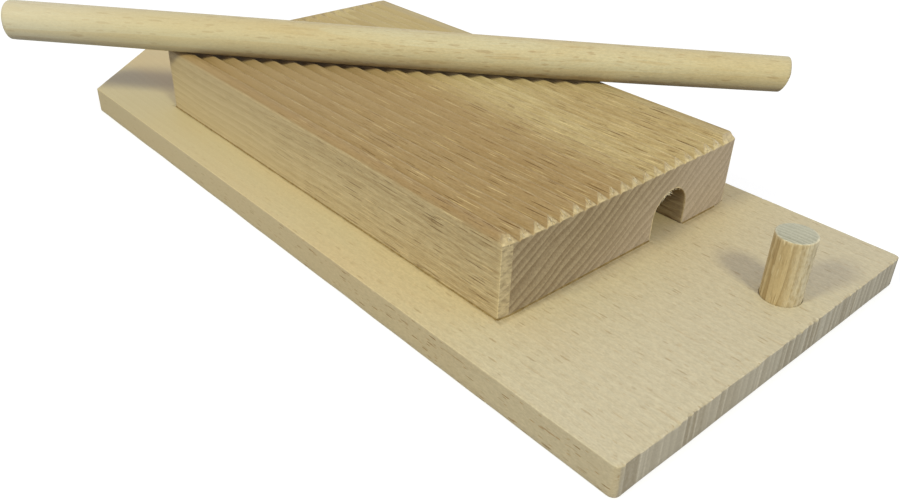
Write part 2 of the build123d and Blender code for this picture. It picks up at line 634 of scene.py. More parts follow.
# Planed beech plank, steamed: cream, with the short brown flecks that mark beech
PLANK_BEECH = BeechFinish(
    name="planed_beech_plank",
    heart="c4b58d",
    sap="c3b691",
    heart_at_mm=-10.0,
    sap_at_mm=20.0,
    patch="c8af83",
    patch_strength=0.5,
    lengthwise_tone="c1b79d",
    lengthwise_from_mm=55.0,
    lengthwise_to_mm=115.0,
    # The plank's upright faces are a little darker and greyer: painted shade
    side="bdae8f",
    side_tone_and_shade_strength=0.6,
    late="a88f66",
    late_strength=0.12,
    thread_strength=0.11,
    end_pale="c1bbab",
    end_dark="877c6a",
    end_sap="bdb5a3",
    end_sap_at_mm=20.0,
    end_contrast=0.44,
    ring_mm=2.4,
    ring_tilt=90.0,
    marks=(
        GrainMark(1.6, 0.16, 0.28, 0.2, "8c6f45", 0.4, slant=0.05, spacing=2.6),
        GrainMark(0.9, 0.2, 0.3, 0.3, "a88e68", 0.28, slant=-0.03, spacing=2.4),
        GrainMark(4.4, 0.24, 0.4, 0.12, "a1855f", 0.24, slant=0.02, spacing=2.8),
    ),
    worn="d2cab8",
    seam="6d5832",
    grit=0.1,
    side_clearness=4.0,
    wander_mm=1.2,
    cut_from=0.86,
    cut_to=0.98,
    flecks_from_mm=-50.0,
    flecks_to_mm=85.0,
    flecks_least=0.15,
    cut_from_mm=(310.0, 120.0, 40.0),
)

# Milled beech block: heartwood, so a golden tan, with long open pores that the cutters have dragged out
BLOCK_BEECH = BeechFinish(
    name="milled_beech_block",
    heart="9c8661",
    sap="bbac82",
    heart_at_mm=24.0,
    sap_at_mm=11.0,
    patch="a28657",
    patch_strength=0.4,
    lengthwise_tone="ae9562",
    lengthwise_from_mm=200.0,
    lengthwise_to_mm=300.0,
    side="c5b48d",
    side_tone_and_shade_strength=0.9,
    late="86693a",
    late_strength=0.23,
    thread_strength=0.54,
    end_pale="aa9a7d",
    end_dark="6f5b40",
    end_sap="bcac95",
    end_sap_at_mm=-2.0,
    end_contrast=0.58,
    ring_mm=2.15,
    ring_tilt=34.0,
    marks=(
        GrainMark(4.8, 0.14, 0.2, 0.5, "563708", 0.8, spacing=3.0),
        GrainMark(2.4, 0.12, 0.2, 0.55, "62420f", 0.64, spacing=2.9),
        GrainMark(4.4, 0.12, 0.2, 0.6, "ecd6a2", 0.42, spacing=2.9),
    ),
    worn="dccba0",
    seam="583818",
    grit=0.11,
    ring_bow_mm=300.0,
    flecks_from_mm=-25.0,
    flecks_to_mm=66.0,
    flecks_least=0.2,
    cut_from_mm=(-90.0, 210.0, 75.0),
)

# The same wood where it is torn: loose fibres are paler and duller than the cut face
TORN_BEECH = replace(
    BLOCK_BEECH,
    name="torn_beech_fibres",
    heart="d2c6a6",
    sap="d6ccb0",
    side_tone_and_shade_strength=0.0,
    flecks_least=1.0,
    end_pale="d2c6a6",
    end_sap="d6ccb0",
    end_dark="b7a684",
    roughness=0.8,
)

# Turned beech dowel, cut where the rings stand steep, so that it shows wavy brown stripes
PEG_BEECH = BeechFinish(
    name="turned_beech_peg",
    heart="bfab82",
    sap="c9bd99",
    heart_at_mm=5.0,
    sap_at_mm=-2.0,
    patch="bb9f6c",
    patch_strength=0.15,
    lengthwise_tone="c4ae80",
    lengthwise_from_mm=200.0,
    lengthwise_to_mm=300.0,
    side="c4ae80",
    side_tone_and_shade_strength=0.0,
    late="8b7145",
    late_strength=0.78,
    thread_strength=0.22,
    end_pale="b5b3a1",
    end_dark="7c7a66",
    end_sap="b5b3a1",
    end_sap_at_mm=-2.0,
    end_contrast=0.6,
    ring_mm=1.15,
    ring_tilt=92.0,
    marks=(
        GrainMark(2.4, 0.14, 0.2, 0.3, "79592d", 0.45),
        GrainMark(1.6, 0.18, 0.22, 0.3, "e0d3ad", 0.45),
    ),
    worn="d9cfb4",
    seam="4a371d",
    cut_from_mm=(60.0, -35.0, 140.0),
)

# Sanded beech dowel: cream sapwood with brown flecks, smoother than the planed pieces
PIN_BEECH = BeechFinish(
    name="sanded_beech_pin",
    heart="b7ad83",
    sap="c4bd9e",
    heart_at_mm=-5.0,
    sap_at_mm=1.0,
    patch="bca673",
    patch_strength=0.5,
    lengthwise_tone="c8c1a8",
    lengthwise_from_mm=-55.0,
    lengthwise_to_mm=-105.0,
    side="cdbf92",
    side_tone_and_shade_strength=0.0,
    late="b99f6c",
    late_strength=0.27,
    thread_strength=0.28,
    end_pale="bfb190",
    end_dark="8f7f60",
    end_sap="bfb190",
    end_sap_at_mm=1.0,
    end_contrast=0.6,
    ring_mm=2.6,
    ring_tilt=35.0,
    marks=(
        GrainMark(2.8, 0.36, 0.6, 0.34, "8c6a3e", 0.44, spacing=2.7),
        GrainMark(1.6, 0.26, 0.4, 0.45, "98754a", 0.36, spacing=2.4),
        GrainMark(8.0, 0.5, 0.9, 0.45, "a88a58", 0.3, spacing=2.4),
    ),
    worn="d8cdaa",
    seam="74531f",
    roughness=0.58,
    grit=0.09,
    flecks_from_mm=-70.0,
    flecks_to_mm=60.0,
    flecks_least=0.5,
    cut_from_mm=(500.0, -60.0, 20.0),
)


@dataclass(frozen=True)
class GlueFinish:
    """Dried wood glue that has taken up dust: dark amber, uneven, a little shiny.

    Attributes:
        name: The material's name.
        thin: Colour where the glue is thin.
        thick: Colour where it is thick.
        patch_mm: Usual length of a thick place.
        roughness: Roughness of the surface.
        relief_mm: Height of its lumps.
    """

    name: str
    thin: str
    thick: str
    patch_mm: float
    roughness: float
    relief_mm: float = 0.05

    def material(self) -> bpy.types.Material:
        """Builds the material.

        Returns:
            The material.
        """
        material = bpy.data.materials.new(self.name)
        wiring = Wiring.of(material)
        here = wiring.add("TexCoord")["Object"]
        patch = {"Vector": here, "Scale": 1.0 / (self.patch_mm * MM), "Detail": 3.0}
        lumps = wiring.add("TexNoise", patch)["Fac"]
        colour = wiring.blend(wiring.ramp(lumps, 0.35, 0.65), self.thin, self.thick)
        height = {"Height": lumps, "Distance": self.relief_mm * MM, "Strength": 1.0}
        relief = wiring.add("Bump", height)["Normal"]
        # Dried glue is a plastic of IOR 1.47; dust keeps it from shining
        inputs = {"Base Color": colour, "Roughness": self.roughness, "IOR": 1.47, "Normal": relief}
        wiring.add("OutputMaterial", {"Surface": wiring.add("BsdfPrincipled", inputs)["BSDF"]})
        return material


DUSTY_GLUE = GlueFinish(name="dried_wood_glue", thin="8f7a4c", thick="735e32", patch_mm=1.5, roughness=0.8)


def corner_round(before: Vector, corner: Vector, after: Vector, radius: float) -> list[Vector]:
    """Points of the arc that rounds one corner of an outline.

    Args:
        before: The corner before it.
        corner: The corner.
        after: The corner after it.
        radius: The arc's radius.

    Returns:
        The arc's points, in order.
    """
    into = (before - corner).normalized()
    out = (after - corner).normalized()
    half = into.angle(out) / 2
    reach = radius / math.tan(half)
    centre = corner + (into + out).normalized() * (radius / math.sin(half))
    start = corner + into * reach - centre
    end = corner + out * reach - centre
    start, end = start.normalized(), end.normalized()
    shares = [step / CORNER_PARTS for step in range(CORNER_PARTS + 1)]
    return [centre + start.slerp(end, share) * radius for share in shares]


def rounded_outline(corners: list[Vector], radii: list[float], spacing: float) -> list[Vector]:
    """A closed outline with rounded corners and evenly spaced points.

    Args:
        corners: The corners, counter-clockwise.
        radii: One radius per corner.
        spacing: Distance between points on the straight runs.

    Returns:
        The outline's points.
    """
    count = len(corners)
    following = corners[1:] + corners[:1]
    arcs = [corner_round(corners[i - 1], corners[i], following[i], radii[i]) for i in range(count)]
    outline = []
    for i, arc in enumerate(arcs):
        outline.extend(arc)
        start = arc[-1]
        end = arcs[(i + 1) % count][0]
        parts = max(1, round((end - start).length / spacing))
        outline.extend(start.lerp(end, k / parts) for k in range(1, parts))
    return outline


def outward_normals(outline: list[Vector]) -> list[Vector]:
    """Directions that point out of a counter-clockwise outline, one per point."""
    count = len(outline)
    normals = []
    for i in range(count):
        run = (outline[(i + 1) % count] - outline[i - 1]).normalized()
        normals.append(Vector((run.y, -run.x)))
    return normals


@dataclass
class BasePlank:
    """Planed plank under everything, cut off at two corners, with the blind hole of the stop peg."""

    cut_length_mm: float = 34.0
    cut_width_mm: float = 37.0
    corner_radius_mm: float = 1.6
    cut_corner_radius_mm: float = 0.6
    arris_mm: float = 0.2
    far_arris_mm: float = 0.3
    foot_arris_mm: float = 0.6
    spacing_mm: float = 0.42
    band_seed: int = 7
    hole_radius_mm: float = 4.43
    hole_centre_mm: tuple[float, float] = (110.4, 14.7)
    hole_floor_mm: float = 2.0
    hole_facets: int = 64
    stain_and_shade_mm: float = 0.8
    stain_and_shade_parts: int = 150
    stain_and_shade_gap_mm: tuple[float, float] = (10.6, 23.4)

    def build(self) -> bpy.types.Object:
        """Makes the plank.

        Returns:
            The dressed plank, which replaces its CAD node.
        """
        low, high = (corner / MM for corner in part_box("base_board"))
        corners = [
            Vector((high.x, low.y)),
            Vector((high.x, high.y)),
            Vector((low.x + self.cut_length_mm, high.y)),
            Vector((low.x, high.y - self.cut_width_mm)),
            Vector((low.x, low.y + self.cut_width_mm)),
            Vector((low.x + self.cut_length_mm, low.y)),
        ]
        radii = [self.corner_radius_mm] * 2 + [self.cut_corner_radius_mm] * 4
        outline = rounded_outline(corners, radii, self.spacing_mm)
        normals = outward_normals(outline)
        self.bands = self._year_bands(high.y)
        skin = Skin()
        rings = self._edge_rings(skin, outline, normals, low.z, high.z)
        skin.join_all(rings)
        skin.close(list(reversed(rings[0])))
        self._hole(skin, rings[-1], high.z)
        plank = skin.piece("plank", "board")
        plank.data.materials.append(PLANK_BEECH.material())
        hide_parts("base_board")
        return plank

    def _year_bands(self, half_width: float) -> list[tuple[float, float, float, float]]:
        """Splits the peg end into bands of one or more years' growth.

        Args:
            half_width: Half the plank's width.

        Returns:
            For each band its far edge, the width of its arris, and its shares of dark and of pale tone.
        """
        chance = random.Random(self.band_seed)
        bands = []
        edge = -half_width - 1.0
        while edge < half_width + 1.0:
            edge += chance.choice((0.9, 1.4, 2.1, 3.2, 4.6)) * chance.uniform(0.8, 1.2)
            dark = chance.choice((0.0, 0.06, 0.14, 0.24, 0.36))
            bands.append((edge, chance.uniform(0.05, 0.85), dark, 0.0))
            # A pale line of torn early wood closes some of the bands, but none at the near corner
            edge += 0.45
            pale = chance.choice((0.0, 0.5, 0.8)) if edge > 3.0 - half_width else 0.0
            bands.append((edge, chance.uniform(0.05, 0.5), 0.0, pale))
        return bands

    def _band(self, y: float) -> tuple[float, float, float]:
        """Arris width, dark tone and pale tone at a place across the peg end; each band's arris grows."""
        # The first band starts beyond the plank's corner
        start = self.bands[0][0] - 1.0
        for edge, arris, dark, pale in self.bands:
            if y < edge:
                return arris * min(1.0, (y - start) / (edge - start) + 0.1), dark, pale
            start = edge
        return 0.0, 0.0, 0.0

    def _edge_rings(
        self, skin: Skin, outline: list[Vector], normals: list[Vector], bottom: float, top: float
    ) -> list[list]:
        """Stacks the rings of the plank's edge, with arrises that vary as sanding by hand leaves them.

        Args:
            skin: The surface being made.
            outline: Points of the plank's outline.
            normals: Outward directions at those points.
            bottom: Height of the underside.
            top: Height of the upper face.

        Returns:
            The rings, from the underside up.
        """
        upper = [self._arris(p, n) for p, n in zip(outline, normals)]
        lower = [self.foot_arris_mm * (1 + 0.35 * ripple(p.x * 0.08, p.y * 0.08, 3.0)) for p in outline]
        hollows = [self._end_wear(p, n) for p, n in zip(outline, normals)]
        tones = [self._band(p.y)[1:] if n.x > 0.9 else (0.0, 0.0) for p, n in zip(outline, normals)]
        rings = []

        def ring(place: Callable[[int], tuple[float, float]], worn: float, dark: float) -> None:
            """Adds a ring whose inset and level follow from the point's number."""
            vertices = []
            for i, (point, normal) in enumerate(zip(outline, normals)):
                inset, level = place(i)
                hollow = hollows[i] * (level - bottom) / (top - bottom)
                x, y = point - normal * (inset + hollow)
                tone, pale = tones[i]
                vertices.append(skin.point((x, y, level), max(worn, pale * dark), tone * dark))
            rings.append(vertices)

        arc = [math.radians(a) for a in (0.0, 30.0, 60.0, 90.0)]
        ring(lambda i: (lower[i] + 0.6, bottom), 0.0, 0.0)
        for turn in arc:
            inward, up = 1 - math.sin(turn), 1 - math.cos(turn)
            ring(lambda i: (lower[i] * inward, bottom + lower[i] * up), 0.1, 1.0)
        for height in (bottom + 1.8, (bottom + top) / 2, top - 1.6):
            ring(lambda i: (0.0, height), 0.0, 1.0)
        ring(lambda i: (0.0, top - upper[i] - 0.15), 0.0, 1.0)
        for turn in arc:
            inward, down = 1 - math.cos(turn), 1 - math.sin(turn)
            ring(lambda i: (upper[i] * inward, top - upper[i] * down), 0.0, 0.6)
        ring(lambda i: (upper[i] + 0.25, top), 0.0, 0.0)
        return rings

    def _arris(self, point: Vector, normal: Vector) -> float:
        """Width of the worn top edge at a point; the peg end's steps follow the bands of growth."""
        width = self.far_arris_mm if normal.y > 0.9 else self.arris_mm
        worn = width * (1 + 0.45 * ripple(point.x * 0.12, point.y * 0.12, 7.0))
        if normal.x > 0.9:
            worn = self._band(point.y)[0]
        chip = ripple(point.x * 0.7, point.y * 0.7, 21.0) - 0.42
        return max(0.06, worn + max(0.0, chip) * 0.9)

    def _end_wear(self, point: Vector, normal: Vector) -> float:
        """Depth to which sanding has hollowed the soft early wood of the peg end."""
        if normal.x < 0.9:
            return 0.02 * (1 + ripple(point.x * 0.05, point.y * 0.05, 2.0))
        return 0.02 + 0.5 * self._band(point.y)[1]

    def _hole(self, skin: Skin, rim: list, top: float) -> None:
        """Fills the upper face around the peg's hole and the block's foot, and lines the hole.

        Args:
            skin: The surface being made.
            rim: The upper face's outline.
            top: Height of the upper face.
        """
        turns = [math.tau * k / self.hole_facets for k in range(self.hole_facets)]
        centre_x, centre_y = self.hole_centre_mm

        def circle(radius: float, height: float, seam: float) -> list:
            """Adds one ring of the hole."""
            return skin.ring(
                [(centre_x + radius * math.cos(a), centre_y + radius * math.sin(a), height) for a in turns],
                seam=seam,
            )

        mouth = circle(self.hole_radius_mm + 0.35, top, 0.0)
        skin.fill_between(rim, mouth, self._stain_and_shade(skin, top))
        # The lining darkens towards the hole's floor: painted shade
        lining = [
            mouth,
            circle(self.hole_radius_mm + 0.12, top, 0.1),
            circle(self.hole_radius_mm, top - 0.12, 0.2),
            circle(self.hole_radius_mm, self.hole_floor_mm, 0.6),
        ]
        skin.join_all(lining)
        skin.close(lining[-1])

    def _stain_and_shade(self, skin: Skin, top: float) -> list:
        """Adds the face under the block and the narrow band round its foot: a glue and dust stain, with painted
        shade ahead of both ends.

        Args:
            skin: The surface being made.
            top: Height of the upper face.

        Returns:
            The band's outer edge.
        """
        low, high = (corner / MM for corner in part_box("ridged_block"))
        rings = []
        for reach, strength in ((self.stain_and_shade_mm, 0.0), (0.45, 0.45), (0.0, 0.75), (-0.5, 0.0)):
            # Ahead of both ends the band reaches twice as far: painted shade of the block there, with the glue
            # and dust stain
            ahead = 2 * max(0.0, reach)
            corners = [
                Vector((low.x - ahead, low.y - reach)),
                Vector((high.x + ahead, low.y - reach)),
                Vector((high.x + ahead, high.y + reach)),
                Vector((low.x - ahead, high.y + reach)),
            ]
            ring = []
            for start, end in zip(corners, corners[1:] + corners[:1]):
                for k in range(self.stain_and_shade_parts):
                    x, y = start.lerp(end, k / self.stain_and_shade_parts)
                    uneven = 0.75 + 0.5 * ripple(x * 0.3, y * 0.3, 5.0)
                    in_mouth = self.stain_and_shade_gap_mm[0] < y < self.stain_and_shade_gap_mm[1]
                    # The band fades towards the right foot corner of the peg end
                    uneven *= min(1.0, math.hypot(x - high.x, y - high.y) / 6.0)
                    ring.append(skin.point((x, y, top), seam=0.0 if in_mouth else strength * uneven))
            rings.append(ring)
        skin.join_all(rings)
        skin.close(rings[-1])
        return rings[0]


class Zone(Enum):
    """Where on the block's cross-section a point lies, which says how its surface varies."""

    SIDE = "side"
    CREST = "crest"
    WALL = "wall"
    VALLEY = "valley"
    FOOT = "foot"
    CHANNEL = "channel"


@dataclass(frozen=True)
class ProfilePoint:
    """One point of the block's cross-section.

    Attributes:
        y: Place across the board, in millimetres.
        z: Height, in millimetres.
        inward: Direction into the wood, as y and z.
        zone: The kind of surface there.
        ridge: The number of the ridge it belongs to.
        worn: Share of pale wear.
        seam: Share of dark tone from glue, dust and darker wood, and of painted shade.
    """

    y: float
    z: float
    inward: tuple[float, float]
    zone: Zone
    ridge: int = 0
    worn: float = 0.0
    seam: float = 0.0


@dataclass
class RidgedBlock:
    """Milled block glued on the plank, with V grooves along its top and the pin channel through its foot."""

    left_shoulder_mm: float = 1.8
    right_shoulder_mm: float = 0.4
    end_bevel_mm: float = 1.5
    far_bevel_mm: float = 0.35
    far_stop_mm: float = 1.2
    far_slope_mm: float = 0.8
    margin_width_mm: float = 2.7
    margin_fade_mm: float = 0.12
    margin_depth_mm: float = 0.4
    pitch_mm: float = 3.78
    land_mm: float = 0.4
    ridge_inset_mm: float = 2.5
    groove_depth_mm: float = 1.69
    channel_width_mm: float = 12.0
    channel_height_mm: float = 11.2
    channel_middle_mm: float = 17.0
    # Painted shade inside the channel, on its walls and most under the crown
    channel_shade: float = 0.5
    crown_shade: float = 1.0
    arch_parts: int = 24
    stations: int = 150
    edge_mm: float = 0.16

    def build(self) -> bpy.types.Object:
        """Makes the block.

        Returns:
            The dressed block, which replaces its CAD node.
        """
        self.low, self.high = (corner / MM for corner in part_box("ridged_block"))
        finish = BLOCK_BEECH.material()
        skin = Skin()
        profile = self._profile()
        steps = [self._station(skin, profile, k / self.stations) for k in range(self.stations + 1)]
        skin.join_all(steps)
        for outward, last in ((1, steps[-1]), (-1, steps[0])):
            self._end(skin, profile, last, outward)
        block = skin.piece("ridged_block_milled", "board", sharp_degrees=28.0)
        block.data.materials.append(finish)
        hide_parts("ridged_block")
        return block

    def ridge_count(self) -> int:
        """Number of crests that fit between the shoulders."""
        return 1 + round((self.high.y - self.low.y - 2 * self.ridge_inset_mm) / self.pitch_mm)

    def _profile(self) -> list[ProfilePoint]:
        """Walks round the cross-section, from the left foot over the ridges and back by the channel."""
        both = self.low.y + self.high.y
        right = [
            replace(point, y=both - point.y, inward=(-point.inward[0], point.inward[1]))
            for point in reversed(self._side(self.right_shoulder_mm))
        ]
        return [*self._side(self.left_shoulder_mm), *self._ridges(), *right, *self._underside()]

    def _side(self, shoulder: float) -> list[ProfilePoint]:
        """The left foot, the left side and a shoulder of the given radius; the right side mirrors it."""
        y = self.low.y
        foot = self.low.z
        points = [
            ProfilePoint(y + 0.35, foot, (0.0, 1.0), Zone.FOOT, seam=1.0),
            ProfilePoint(y + 0.12, foot + 0.05, (0.7, 0.7), Zone.FOOT, seam=1.0),
            ProfilePoint(y, foot + 0.22, (1.0, 0.0), Zone.FOOT, seam=0.6),
            ProfilePoint(y, foot + 0.38, (1.0, 0.0), Zone.SIDE, seam=0.06),
        ]
        start = foot + 1.2
        end = self.high.z - shoulder
        for k in range(9):
            # The side darkens towards its top, and the shoulder fades back from there
            darker_up = 0.02 if k == 0 else max(0.0, k - 4) * 0.04
            points.append(ProfilePoint(y, start + (end - start) * k / 8, (1.0, 0.0), Zone.SIDE, seam=darker_up))
        for k in range(1, 6):
            angle = math.radians(90 * k / 6)
            across, up = math.cos(angle), math.sin(angle)
            place = (y + shoulder * (1 - across), end + shoulder * up)
            points.append(ProfilePoint(*place, (across, -up), Zone.SIDE, seam=0.16 * (1 - k / 6)))
        return points

    def _ridges(self) -> list[ProfilePoint]:
        """Crests and grooves, from the left shoulder to the right one."""
        points = []
        half_land = self.land_mm / 2
        first = self.low.y + self.ridge_inset_mm
        top = self.high.z
        half_groove = (self.pitch_mm - self.land_mm) / 2
        slope = self.groove_depth_mm / half_groove
        down = (0.0, -1.0)
        count = self.ridge_count()
        for ridge in range(count):
            crest = first + ridge * self.pitch_mm
            if ridge == 0:
                points.append(ProfilePoint(self.low.y + self.left_shoulder_mm, top, down, Zone.SIDE, ridge))
            else:
                for share in (0.33, 0.66, 0.93):
                    y = crest - half_land - half_groove * (1 - share)
                    z = top - slope * half_groove * (1 - share)
                    points.append(ProfilePoint(y, z, down, Zone.WALL, ridge))
            for offset, drop, worn in ((-half_land, 0.03, 0.0), (0.0, 0.0, 0.38), (half_land, 0.03, 0.0)):
                points.append(ProfilePoint(crest + offset, top - drop, down, Zone.CREST, ridge, worn=worn))
            if ridge < count - 1:
                for share in (self.margin_fade_mm / half_groove, 0.34, 0.67):
                    y = crest + half_land + half_groove * share
                    points.append(ProfilePoint(y, top - slope * half_groove * share, down, Zone.WALL, ridge))
                valley = crest + half_land + half_groove
                for offset in (-0.08, 0.08):
                    floor = top - self.groove_depth_mm + 0.03
                    points.append(ProfilePoint(valley + offset, floor, down, Zone.VALLEY, ridge))
            else:
                for y in (*self._split_places()[2:], self.high.y - self.right_shoulder_mm):
                    points.append(ProfilePoint(y, top, down, Zone.SIDE, ridge))
        return points

    def _underside(self) -> list[ProfilePoint]:
        """The foot's underside and the channel's arch, from right to left."""
        foot = self.low.z
        half = self.channel_width_mm / 2
        spring = foot + self.channel_height_mm - half

        def flat(places: list[float]) -> list[ProfilePoint]:
            """Points of the flat foot."""
            return [ProfilePoint(y, foot, (0.0, 1.0), Zone.FOOT, seam=1.0) for y in places]

        def wall(side: float) -> list[ProfilePoint]:
            """Points up one wall of the channel; side is 1 for the right wall and -1 for the left."""
            y = self.channel_middle_mm + side * half
            middle = (foot + spring) / 2
            # The walls are darkened, most in the corner at the foot: painted shade
            shade_levels = ((foot + 0.25, 0.8), (foot + 0.9, self.channel_shade), (middle, self.channel_shade))
            return [
                ProfilePoint(y + side * 0.2, foot, (side * 0.7, 0.7), Zone.FOOT, seam=1.0),
                *(ProfilePoint(y, z, (side, 0.0), Zone.CHANNEL, seam=seam) for z, seam in shade_levels),
            ]

        arch = []
        for k in range(self.arch_parts + 1):
            angle = math.pi * k / self.arch_parts
            across, up = math.cos(angle), math.sin(angle)
            # Painted shade grows towards the crown
            seam = self.channel_shade + (self.crown_shade - self.channel_shade) * k / self.arch_parts
            y = self.channel_middle_mm + half * across
            arch.append(ProfilePoint(y, spring + half * up, (across, up), Zone.CHANNEL, seam=seam))
        places = self._split_places()
        return [*flat(places[3:1:-1]), *wall(1.0), *arch, *reversed(wall(-1.0)), *flat(places[1::-1])]

    def _split_places(self) -> list[float]:
        """Places across the end face where its two margins stop and its grey middle starts; the near margin
        carries painted light.
        """
        return [
            self.low.y + self.margin_width_mm,
            self.low.y + self.margin_width_mm + self.margin_fade_mm,
            self.high.y - self.margin_width_mm - self.margin_fade_mm,
            self.high.y - self.margin_width_mm,
        ]

    def end_x(self, y: float, outward: int) -> float:
        """Where an end face stands at a place across the block."""
        edge = self.high.x if outward > 0 else self.low.x
        nearest = min(y - self.low.y, self.high.y - y)
        return edge - outward * self.margin_depth_mm * max(0.0, 1 - nearest / self.margin_width_mm)

    def _bevel_line(self, y: float, outward: int) -> float:
        """Height at which the end's bevel meets the end face, with the small steps of torn wood."""
        steps = 0.16 * ripple(y * 1.3, outward * 4.0, 1.0) + 0.12 * ripple(y * 3.7, outward * 4.0, 6.0)
        if outward < 0:
            return self.high.z - self.far_bevel_mm + 0.3 * steps
        return self.high.z - self.end_bevel_mm + steps

    def _end_height(self, point: ProfilePoint, outward: int) -> float:
        """Height of a lengthwise line at an end; the grooves run out before the far one."""
        if outward < 0 and point.zone in (Zone.WALL, Zone.VALLEY):
            return self.high.z
        return point.z

    def _reach(self, point: ProfilePoint, outward: int) -> float:
        """Where a lengthwise line of the surface ends: at the end face, its eased edge or the bevel."""
        end = self.end_x(point.y, outward)
        above = self._end_height(point, outward) - self._bevel_line(point.y, outward)
        if above > 0 and point.zone is not Zone.CHANNEL:
            tear = 0.0
            if outward > 0:
                tear = 0.55 * max(0.0, ripple(point.y * 2.9, outward * 7.0, 3.0) + 0.15)
            return end - outward * (above + self.edge_mm + tear)
        if point.zone is Zone.CHANNEL:
            chip = 0.5 * max(0.0, ripple(point.y * 0.9, point.z * 0.9, outward * 2.0) + 0.15)
            return end - outward * (0.25 + chip)
        return end - outward * self.edge_mm

    def _station(self, skin: Skin, profile: list[ProfilePoint], share: float) -> list:
        """Adds one cross-section.

        Args:
            skin: The surface being made.
            profile: The cross-section's points.
            share: Place along the block, from 0 at the cut-off end to 1 at the peg end.

        Returns:
            The ring of vertices.
        """
        ring = []
        for point in profile:
            start = self._reach(point, -1)
            x = start + (self._reach(point, 1) - start) * share
            y, z, worn = self._uneven(point, x)
            if point.zone is Zone.SIDE and share == 1.0:
                worn = max(worn, 0.25)
            ring.append(skin.point((x, y, z), worn, point.seam))
        return ring

    def _uneven(self, point: ProfilePoint, x: float) -> tuple[float, float, float]:
        """Moves a point by what milling and handling have done there.

        Args:
            point: A point of the cross-section.
            x: Place along the block, in millimetres.

        Returns:
            Its y and z in millimetres, and its wear.
        """
        y, z, worn = point.y, point.z, point.worn
        row = point.ridge * 5.3
        if point.zone is Zone.CREST:
            z -= 0.05 * (1 + ripple(x * 0.09, row, 1.0)) + 0.22 * max(0.0, ripple(x * 0.55, row, 8.0) - 0.35)
            y += 0.05 * ripple(x * 0.12, row, 4.0)
            worn *= 0.55 + 0.75 * ripple(x * 0.25, row, 6.0)
        elif point.zone in (Zone.WALL, Zone.VALLEY):
            z -= 0.05 + 0.04 * ripple(x * 0.15, point.y * 1.3, 2.0)
        elif point.zone is Zone.SIDE:
            dip = 0.05 * (1 + ripple(x * 0.05, point.y * 0.2, point.z * 0.2))
            y += point.inward[0] * dip
            z += point.inward[1] * dip
        elif point.zone is Zone.CHANNEL:
            dip = 0.07 * ripple(x * 0.2, point.y * 0.8, point.z * 0.8)
            y += point.inward[0] * dip
            z += abs(point.inward[1]) * dip
        if point.zone in (Zone.WALL, Zone.VALLEY):
            run_out = (self.low.x + self.far_stop_mm + self.far_slope_mm - x) / self.far_slope_mm
            z += (self.high.z - 0.06 - z) * max(0.0, min(1.0, run_out))
        return y, z, max(0.0, min(1.0, worn))

    def _end(self, skin: Skin, profile: list[ProfilePoint], last: list, outward: int) -> None:
        """Closes one end: the bevel's facets, the end face's edge, its margins, the near one with painted light,
        and its middle.

        Args:
            skin: The surface being made.
            profile: The cross-section's points.
            last: The last cross-section at that end.
            outward: 1 for the peg end, -1 for the cut-off end.
        """
        torn = []
        rings: list[list] = [[], [], []]
        for point, vertex in zip(profile, last):
            line = self._bevel_line(point.y, outward)
            lies = self._end_height(point, outward)
            above = lies > line and point.zone is not Zone.CHANNEL
            height = line if above else point.z
            inset = 0.0 if above else self.edge_mm * 0.8
            wear_and_light = min(0.66, (lies - line) / 0.9) if above else 0.3
            seam = point.seam
            halo = 0.15
            # The end face's upright corners are painted pale: partly worn arris, partly painted light, like the
            # near margin
            if point.zone is Zone.SIDE and not above:
                wear_and_light = 0.8
                halo = 0.6
            if point.zone is Zone.CHANNEL:
                # The cutter left the wood's right side of the arch clean
                wear_and_light = 1.0 if point.y < self.channel_middle_mm + 3.0 else 0.2
                seam = 0.0
                halo = 0.9 * wear_and_light
            inward = (0.0, -1.0) if above else point.inward
            paints = ((0.0, wear_and_light, seam * 0.8), (0.2, halo, 0.0), (0.35, 0.0, 0.0))
            for ring, (reach, worn, dark) in zip(rings, paints):
                # Kept off the sides and the foot, so that the rings never cross there
                edge = self.edge_mm * 0.8 + reach
                y = point.y + inward[0] * (inset + reach)
                y = min(max(y, self.low.y + edge), self.high.y - edge)
                z = max(height + inward[1] * (inset + reach), self.low.z + edge)
                ring.append(skin.point((self.end_x(y, outward), y, z), worn, dark))
            middle = (vertex.co + rings[0][-1].co) / 2 / MM
            if above and outward > 0:
                middle.x -= 0.22 * (0.6 + ripple(point.y * 3.1, 5.0, 9.0))
            torn.append(skin.point(middle, wear_and_light, seam))
        skin.join_all([last, torn, *rings])
        self._paint_margin_light(skin, rings[-1])
        self._cap(skin, rings[-1])

    def _paint_margin_light(self, skin: Skin, inner: list) -> None:
        """Paints the near margin of an end face pale: painted light, for the light that its slight bevel catches.
        """
        left = self._split_places()[0]
        for vertex in inner:
            if vertex.co.y / MM <= left + 0.01:
                # Painted light on the near margin
                vertex[skin.worn] = 0.6

    def _cap(self, skin: Skin, inner: list) -> None:
        """Fills an end face in five parts, so that the margins stay flat and the near one keeps its painted
        light.
        """
        places = self._split_places()
        bounds = [-math.inf, *places, math.inf]
        for low, high in zip(bounds, bounds[1:]):
            part = [v for v in inner if low - 0.01 <= v.co.y / MM <= high + 0.01]
            if len(part) > 2:
                skin.close(part)


